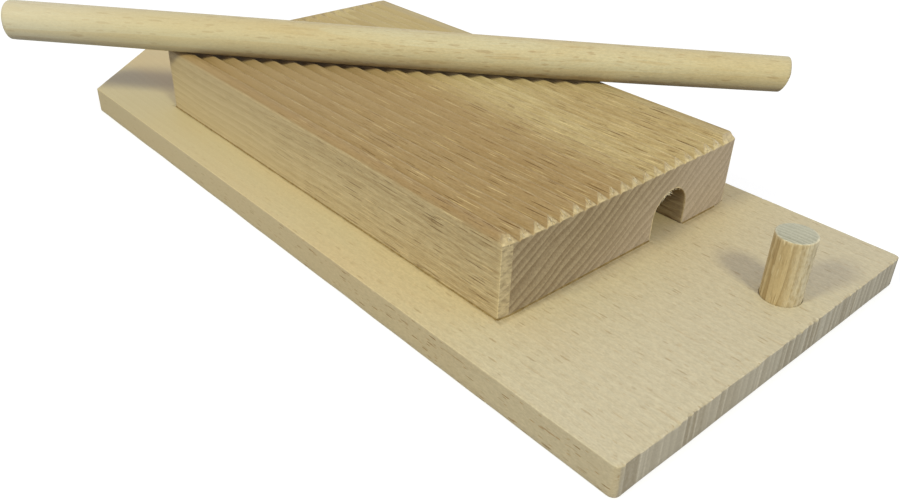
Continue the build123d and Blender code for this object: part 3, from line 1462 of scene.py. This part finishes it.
@dataclass
class TornFibres:
    """Slivers that the cutters tore loose: on the ridges' ends, along the crests and round the channel."""

    block: RidgedBlock
    seed: int = 11
    per_ridge: int = 9
    on_crests: int = 70
    round_channel: int = 34

    def build(self) -> bpy.types.Object:
        """Makes all slivers as one piece.

        Returns:
            The dressed slivers.
        """
        self.chance = random.Random(self.seed)
        skin = Skin()
        self._on_ridge_ends(skin)
        self._along_crests(skin)
        self._at_channel(skin)
        fibres = skin.piece("torn_fibres", "board", sharp_degrees=60.0)
        fibres.data.materials.append(TORN_BEECH.material())
        return fibres

    def _sliver(self, skin: Skin, root: Vector, run: Vector, bend: Vector, width: float) -> None:
        """Adds one three-sided sliver that narrows to a point and stays inside the block's outer planes.

        Args:
            skin: The surface being made.
            root: Where it grows from the wood.
            run: From its root to its tip, before bending.
            bend: How far its tip is bent away.
            width: Its width at the root.
        """
        side = run.cross(Vector((0.3, 0.2, 1.0))).normalized()
        lift = run.cross(side).normalized()
        rings = []
        for share, thickness in ((0.0, 1.0), (0.35, 0.85), (0.7, 0.55), (1.0, 0.12)):
            middle = root + run * share + bend * share * share
            corners = []
            for turn in (0.0, math.tau / 3, 2 * math.tau / 3):
                out = side * math.cos(turn) + lift * math.sin(turn) * 0.6
                place = middle + out * (width * thickness / 2)
                place.x = min(place.x, self.block.high.x - 0.01)
                place.z = min(place.z, self.block.high.z - 0.01)
                corners.append(place)
            rings.append(skin.ring(corners))
        skin.join_all(rings)
        skin.close(list(reversed(rings[0])))
        skin.close(rings[-1])

    def _on_ridge_ends(self, skin: Skin) -> None:
        """Lays slivers down the bevelled ends of the ridges, where the cutters left the wood."""
        chance = self.chance
        block = self.block
        first = block.low.y + block.ridge_inset_mm
        for ridge in range(block.ridge_count()):
            for _ in range(self.per_ridge):
                aside = chance.triangular(-1.3, 1.3, 0.0)
                drop = abs(aside) + 0.15 + chance.random() * 0.7
                y = first + ridge * block.pitch_mm + aside
                back = max(0.02, block.end_bevel_mm - drop) + 0.1
                root = Vector((block.end_x(y, 1) - back, y, block.high.z - drop))
                length = chance.uniform(0.35, 1.1)
                run = Vector((0.75, chance.uniform(-0.35, 0.35), -0.7)) * length
                bend = Vector((0.1, 0.0, chance.uniform(-0.15, 0.2))) * length
                self._sliver(skin, root, run, bend, chance.uniform(0.1, 0.26))

    def _along_crests(self, skin: Skin) -> None:
        """Lays short crumbs of fibre along the crests."""
        chance = self.chance
        block = self.block
        first = block.low.y + block.ridge_inset_mm
        for _ in range(self.on_crests):
            y = first + chance.randrange(block.ridge_count()) * block.pitch_mm + chance.uniform(-0.25, 0.25)
            root = Vector((chance.uniform(block.low.x + 3, block.high.x - 3), y, block.high.z - 0.22))
            run = Vector((chance.uniform(0.5, 1.8), chance.uniform(-0.15, 0.15), chance.uniform(0.0, 0.15)))
            self._sliver(skin, root, run, Vector((0, 0, 0.04)), chance.uniform(0.12, 0.25))

    def _at_channel(self, skin: Skin) -> None:
        """Hangs slivers into the channel's mouth, most of them from the crown and the left of the arch."""
        chance = self.chance
        block = self.block
        half = block.channel_width_mm / 2
        spring = block.low.z + block.channel_height_mm - half
        for _ in range(self.round_channel):
            turn = math.radians(chance.triangular(20, 175, 115))
            out = Vector((0.0, math.cos(turn), math.sin(turn)))
            along = Vector((0.0, -math.sin(turn), math.cos(turn)))
            root = Vector((block.high.x - 0.12, block.channel_middle_mm, spring)) + out * (half + 0.12)
            near_crown = 2.3 if 1.6 < turn < 2.2 else 1.0
            length = chance.uniform(0.3, 0.9) * near_crown
            run = (along * chance.uniform(-1.0, 1.0) - out * chance.uniform(0.25, 0.8)) * length
            run.x = 0.08
            width = chance.uniform(0.12, 0.26) * near_crown
            self._sliver(skin, root, run, Vector((0, 0, -0.15)) * length, width)


@dataclass
class GlueLine:
    """Dried glue and dust that fill the corner between the block's foot and the plank."""

    block: RidgedBlock
    side_width_mm: float = 0.28
    end_width_mm: float = 0.3
    mouth_mm: float = 6.35
    spacing_mm: float = 0.5

    def build(self) -> bpy.types.Object:
        """Makes the line along every foot of the block.

        Returns:
            The dressed line.
        """
        low, high = self.block.low, self.block.high
        width, depth = self.block.margin_width_mm, self.block.margin_depth_mm
        mouth = (self.block.channel_middle_mm - self.mouth_mm, self.block.channel_middle_mm + self.mouth_mm)
        skin = Skin()
        for edge, outward in ((low.y, -1.0), (high.y, 1.0)):
            self._bead(skin, (low.x + 0.4, edge), (high.x - 0.4, edge), (0.0, outward), self.side_width_mm)
        for edge, outward in ((low.x, -1.0), (high.x, 1.0)):
            back = edge - outward * depth
            corners = ((back, low.y), (edge, low.y + width), (edge, mouth[0]))
            far_corners = ((edge, mouth[1]), (edge, high.y - 1.5 * width))
            for chain in (corners, far_corners):
                for start, end in zip(chain, chain[1:]):
                    self._bead(skin, start, end, (outward, 0.0), self.end_width_mm)
        line = skin.piece("glue_line", "board", sharp_degrees=60.0)
        line.data.materials.append(DUSTY_GLUE.material())
        return line

    def _bead(
        self,
        skin: Skin,
        start: tuple[float, float],
        end: tuple[float, float],
        outward: tuple[float, float],
        width: float,
    ) -> None:
        """Adds one straight bead of uneven width.

        Args:
            skin: The surface being made.
            start: Its start, as x and y on the block's foot line.
            end: Its end.
            outward: Direction away from the block.
            width: Its usual width.
        """
        first, last, away = Vector(start), Vector(end), Vector(outward)
        parts = max(2, round((last - first).length / self.spacing_mm))
        foot = self.block.low.z
        rings = []
        for k in range(parts + 1):
            x, y = first.lerp(last, k / parts)
            here = width * (1 + 0.4 * ripple(x * 0.3, y * 0.3, 3.0) + 0.25 * ripple(x * 1.3, y * 1.3, 8.0))
            hollow = [(here * reach, here * rise) for reach, rise in ((0.8, 0.14), (0.4, 0.4), (0.1, 0.85))]
            section = ((-0.15, -0.05), (here, -0.03), *hollow, (-0.15, here * 0.9))
            rings.append(skin.ring([(x + away.x * out, y + away.y * out, foot + up) for out, up in section]))
        skin.join_all(rings)
        skin.close(list(reversed(rings[0])))
        skin.close(rings[-1])


@dataclass
class StopPeg:
    """Short dowel glued upright in the plank; its grain, and so its local X, points up."""

    radius_mm: float = 4.4
    top_round_mm: float = 0.28
    # The side of the peg that faces +X, where the light falls, is painted pale: painted light
    lit_side: tuple[float, float] = (0.95, 0.3)
    painted_light: float = 0.8
    facets: int = 72
    stations: int = 26

    def build(self) -> bpy.types.Object:
        """Makes the peg.

        Returns:
            The dressed peg, which replaces its CAD node.
        """
        low, high = (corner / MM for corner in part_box("stop_peg"))
        height = high.z - low.z
        skin = Skin()
        rings = [self._ring(skin, height * k / self.stations, 0.0, 0.0) for k in range(self.stations)]
        for angle in (0, 25, 50, 75, 90):
            turn = math.radians(angle)
            inset = self.top_round_mm * (1 - math.cos(turn))
            level = height - self.top_round_mm * (1 - math.sin(turn))
            rings.append(self._ring(skin, level, inset, 0.3))
        rings.append(self._ring(skin, height, self.top_round_mm + 0.25, 0.0))
        skin.join_all(rings)
        skin.close(list(reversed(rings[0])))
        skin.close(rings[-1])
        middle = (low + high) / 2
        foot = Vector((middle.x, middle.y, low.z)) * MM
        place = Matrix.Translation(foot) @ Matrix.Rotation(-math.pi / 2, 4, "Y")
        peg = skin.piece("stop_peg_turned", "board", place)
        peg.data.materials.append(PEG_BEECH.material(place))
        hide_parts("stop_peg")
        return peg

    def _ring(self, skin: Skin, level: float, inset: float, worn: float) -> list:
        """Adds one ring of the dowel, a little out of round as the dowel cutter leaves it.

        Args:
            skin: The surface being made.
            level: Height along the grain.
            inset: How far the ring lies inside the dowel's surface.
            worn: Share of pale wear.

        Returns:
            The ring of vertices.
        """
        ring = []
        for k in range(self.facets):
            turn = math.tau * k / self.facets
            dip = 0.035 * (1 + ripple(math.cos(turn) * 2.6, math.sin(turn) * 2.6, level * 0.08))
            radius = self.radius_mm - inset - dip
            # Local Y is the frame's Y, and local Z points along its -X
            # Paler on the side that faces +X: painted light
            towards = self.lit_side[1] * math.cos(turn) - self.lit_side[0] * math.sin(turn)
            pale = 0.0 if inset > self.top_round_mm else self.painted_light * max(0.0, towards)
            place = (level, radius * math.cos(turn), radius * math.sin(turn))
            ring.append(skin.point(place, max(worn, pale)))
        return ring


@dataclass
class RollingPin:
    """Loose dowel that lies across the ridges; it tapers, and its thin end is sanded off below."""

    length_mm: float = 215.2
    thick_radius_mm: float = 5.5
    thin_radius_mm: float = 4.75
    thick_round_mm: float = 2.0
    thin_round_mm: float = 1.2
    least_round: float = 0.45
    place_mm: tuple[float, float] = (-8.9, 2.2)
    turn_degrees: float = 41.3
    facets: int = 80
    stations: int = 150
    slant_depth_mm: float = 2.1
    slant_from_mm: float = 1.4
    swell_mm: float = 0.17
    thin_end_mm: float = 0.12
    bow_mm: float = 1.35
    bow_end_mm: float = 0.12
    # Painted shade on the pin's underside
    underside_shade: float = 0.34

    def build(self) -> bpy.types.Object:
        """Makes the pin.

        Returns:
            The dressed pin, which replaces its CAD node.
        """
        low, _ = (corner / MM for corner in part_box("rolling_pin"))
        skin = Skin()
        half = self.length_mm / 2
        rings = []
        for angle in (90, 72, 54, 36, 18):
            rings.append(self._end_ring(skin, -half, math.radians(angle), self.thick_round_mm, -1))
        start = -half + self.thick_round_mm
        end = half - self.thin_round_mm
        for k in range(self.stations + 1):
            rings.append(self._ring(skin, start + (end - start) * k / self.stations, 0.0))
        for angle in (18, 36, 54, 72, 90):
            rings.append(self._end_ring(skin, half, math.radians(angle), self.thin_round_mm, 1))
        skin.join_all(rings)
        self._face(skin, rings[0], -half)
        self._face(skin, rings[-1], half)
        taper = math.atan((self.thick_radius_mm - self.thin_radius_mm) / self.length_mm)
        middle_radius = (self.thick_radius_mm + self.thin_radius_mm) / 2 / math.cos(taper)
        middle = Vector((self.place_mm[0], self.place_mm[1], low.z + middle_radius)) * MM
        place = (
            Matrix.Translation(middle)
            @ Matrix.Rotation(math.radians(self.turn_degrees), 4, "Z")
            @ Matrix.Rotation(taper, 4, "Y")
        )
        pin = skin.piece("rolling_pin_sanded", "pin", place)
        pin.data.materials.append(PIN_BEECH.material(place))
        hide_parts("rolling_pin")
        return pin

    def _radius(self, x: float, turn: float) -> float:
        """Radius at a place along the pin and round it, uneven as hand sanding leaves it."""
        share = self._share(x)
        plain = self.thick_radius_mm + (self.thin_radius_mm - self.thick_radius_mm) * share
        swell = self.swell_mm * math.sin(math.pi * share) - self.thin_end_mm * max(0.0, share - 0.85) / 0.15
        dip = 0.03 * (1 + ripple(x * 0.03, math.cos(turn) * 0.8, math.sin(turn) * 0.8))
        return plain + swell - dip

    def _share(self, x: float) -> float:
        """Place along the pin as a share of its length, from 0 at the thick end to 1 at the thin one."""
        return max(0.0, min(1.0, x / self.length_mm + 0.5))

    def _place(self, x: float, turn: float, inset: float) -> tuple[float, float, float]:
        """A point of the pin's slightly bowed surface, kept behind the slanting cut at the thin end."""
        radius = self._radius(x, turn) - inset
        bow = self.bow_mm * math.sin(math.pi * self._share(x) ** 1.35) + self.bow_end_mm * self._share(x) ** 3
        y = radius * math.cos(turn) - bow
        z = radius * math.sin(turn)
        below = (self.slant_from_mm - z) / (self.slant_from_mm + self.thin_radius_mm)
        limit = self.length_mm / 2 - self.slant_depth_mm * max(0.0, below)
        return min(x, limit), y, z

    def _ring(self, skin: Skin, x: float, inset: float, back: float = 0.0) -> list:
        """Adds one ring across the pin.

        Args:
            skin: The surface being made.
            x: Place along the pin.
            inset: How far the ring lies inside the pin's surface.
            back: How far along the pin the ring lies from x, where the end is rounded fully.

        Returns:
            The ring of vertices.
        """
        ring = []
        for k in range(self.facets):
            turn = math.tau * k / self.facets
            # The ends are rounded fully at the pin's sides and less above and below
            fullness = self.least_round + (1 - self.least_round) * math.cos(turn) ** 2
            # The underside is darkened from a fifth of the way along, about where the pin comes over the block:
            # painted shade
            below = max(0.0, -math.sin(turn) - 0.3) / 0.7
            seam = self.underside_shade * below * max(0.0, min(1.0, (self._share(x) - 0.2) / 0.2))
            ring.append(skin.point(self._place(x + back * fullness, turn, inset * fullness), seam=seam))
        return ring

    def _end_ring(self, skin: Skin, edge: float, angle: float, radius: float, outward: int) -> list:
        """Adds one ring of a rounded end.

        Args:
            skin: The surface being made.
            edge: Where the end face stands.
            angle: How far round the edge the ring lies.
            radius: The edge's radius.
            outward: 1 at the thin end, -1 at the thick one.

        Returns:
            The ring of vertices.
        """
        back = -outward * radius * (1 - math.sin(angle))
        return self._ring(skin, edge, radius * (1 - math.cos(angle)), back)

    def _face(self, skin: Skin, rim: list, edge: float) -> None:
        """Closes an end with two more rings and a small middle face."""
        rings = [rim]
        rounding = self.thin_round_mm if edge > 0 else self.thick_round_mm
        for extra in (0.3, 1.6):
            rings.append(self._ring(skin, edge, rounding + extra))
        skin.join_all(rings)
        skin.close(rings[-1])


@dataclass
class Studio:
    """White table, even dome light, and two soft lamps on either side of the camera."""

    floor_size_m: float = 6.0
    table_colour: str = "a4a4a4"
    table_glow: float = 0.72
    lamp_distance_m: float = 0.85
    lamp_size_m: float = 0.14
    right_lamp: tuple[float, float, float] = (0.97, -0.24, 43.0)
    left_lamp: tuple[float, float, float] = (0.0, -1.0, 40.0)
    right_power: float = 2.65
    left_power: float = 3.0
    lamp_colour: str = "fffdd4"
    dome_colour: str = "e5e7ff"
    dome_strength: float = 0.665

    def build(self) -> None:
        """Adds the floor, the dome, the lamps and the camera, and sets the view transform."""
        bpy.context.scene.view_settings.view_transform = "Standard"
        self._floor()
        self._dome()
        self._lamp("right_softbox", self.right_lamp, self.right_power)
        self._lamp("left_softbox", self.left_lamp, self.left_power)
        self._camera()

    def _floor(self) -> None:
        """Adds a plain white table top that keeps the object's shadow."""
        half = self.floor_size_m / 2
        corners = [(-half, -half, 0), (half, -half, 0), (half, half, 0), (-half, half, 0)]
        data = bpy.data.meshes.new("table_top")
        data.from_pydata(corners, [], [(0, 1, 2, 3)])
        table_top = bpy.data.objects.new("table_top", data)
        bpy.context.scene.collection.objects.link(table_top)
        material = bpy.data.materials.new("white_laminate_table")
        wiring = Wiring.of(material)
        # White laminate: matt, and lifted by its own glow only where the camera sees it
        seen = wiring.add("LightPath")["Is Camera Ray"]
        matt = wiring.add("BsdfDiffuse", {"Color": linear(self.table_colour)})["BSDF"]
        glow = {"Color": WHITE, "Strength": wiring.math("MULTIPLY", seen, self.table_glow)}
        both = wiring.add("AddShader", {0: matt, 1: wiring.add("Emission", glow)["Emission"]})["Shader"]
        wiring.add("OutputMaterial", {"Surface": both})
        data.materials.append(material)

    def _dome(self) -> None:
        """Adds the even light from all round, which the camera sees as white."""
        world = bpy.data.worlds.new("white_dome")
        bpy.context.scene.world = world
        wiring = Wiring.of(world)
        rays = wiring.add("LightPath")
        seen = rays["Is Camera Ray"]
        for other in ("Is Glossy Ray", "Is Transmission Ray"):
            seen = wiring.math("MAXIMUM", seen, rays[other])
        light = {"Color": linear(self.dome_colour), "Strength": self.dome_strength}
        sides = {
            0: seen,
            1: wiring.add("Background", light)["Background"],
            2: wiring.add("Background", {"Color": WHITE, "Strength": 1.0})["Background"],
        }
        wiring.add("OutputWorld", {"Surface": wiring.add("MixShader", sides)["Shader"]})

    def _lamp(self, name: str, place: tuple[float, float, float], power: float) -> None:
        """Adds a square soft lamp aimed at the board.

        Args:
            name: The lamp's name.
            place: Its direction as x and y, and its elevation in degrees.
            power: Its power in watts.
        """
        flat = Vector((place[0], place[1], 0.0)).normalized()
        rise = math.radians(place[2])
        back = flat * math.cos(rise) + Vector((0, 0, math.sin(rise)))
        data = bpy.data.lights.new(name, "AREA")
        data.shape = "SQUARE"
        data.size = self.lamp_size_m
        data.energy = power
        data.color = linear(self.lamp_colour)[:3]
        lamp = bpy.data.objects.new(name, data)
        bpy.context.scene.collection.objects.link(lamp)
        lamp.location = back * self.lamp_distance_m
        lamp.rotation_mode = "QUATERNION"
        lamp.rotation_quaternion = (-back).to_track_quat("-Z", "Y")

    def _camera(self) -> None:
        """Adds the camera at the photograph's angle."""
        data = bpy.data.cameras.new("camera")
        data.sensor_fit = "HORIZONTAL"
        data.sensor_width = 36.0
        data.lens = 34.42
        data.clip_start = 0.01
        data.clip_end = 20.0
        camera = bpy.data.objects.new("camera", data)
        bpy.context.scene.collection.objects.link(camera)
        right = Vector((0.661544, 0.749479, 0.025322))
        down = Vector((0.412417, -0.335411, -0.847001))
        forward = Vector((-0.626317, 0.570772, -0.530987))
        axes = Matrix((right, -down, -forward)).transposed().to_4x4()
        camera.matrix_world = Matrix.Translation((0.17351, -0.13673, 0.10942)) @ axes
        bpy.context.scene.camera = camera


def main() -> None:
    """Builds the scene piece by piece."""
    logging.basicConfig(level=logging.INFO, format="%(name)s: %(message)s")
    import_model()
    block = RidgedBlock()
    made = [
        BasePlank().build(),
        block.build(),
        TornFibres(block).build(),
        GlueLine(block).build(),
        StopPeg().build(),
        RollingPin().build(),
    ]
    for piece in made:
        LOG.info("%s: %d points, %d faces", piece.name, len(piece.data.vertices), len(piece.data.polygons))
    Studio().build()


if __name__ == "__main__":
    main()
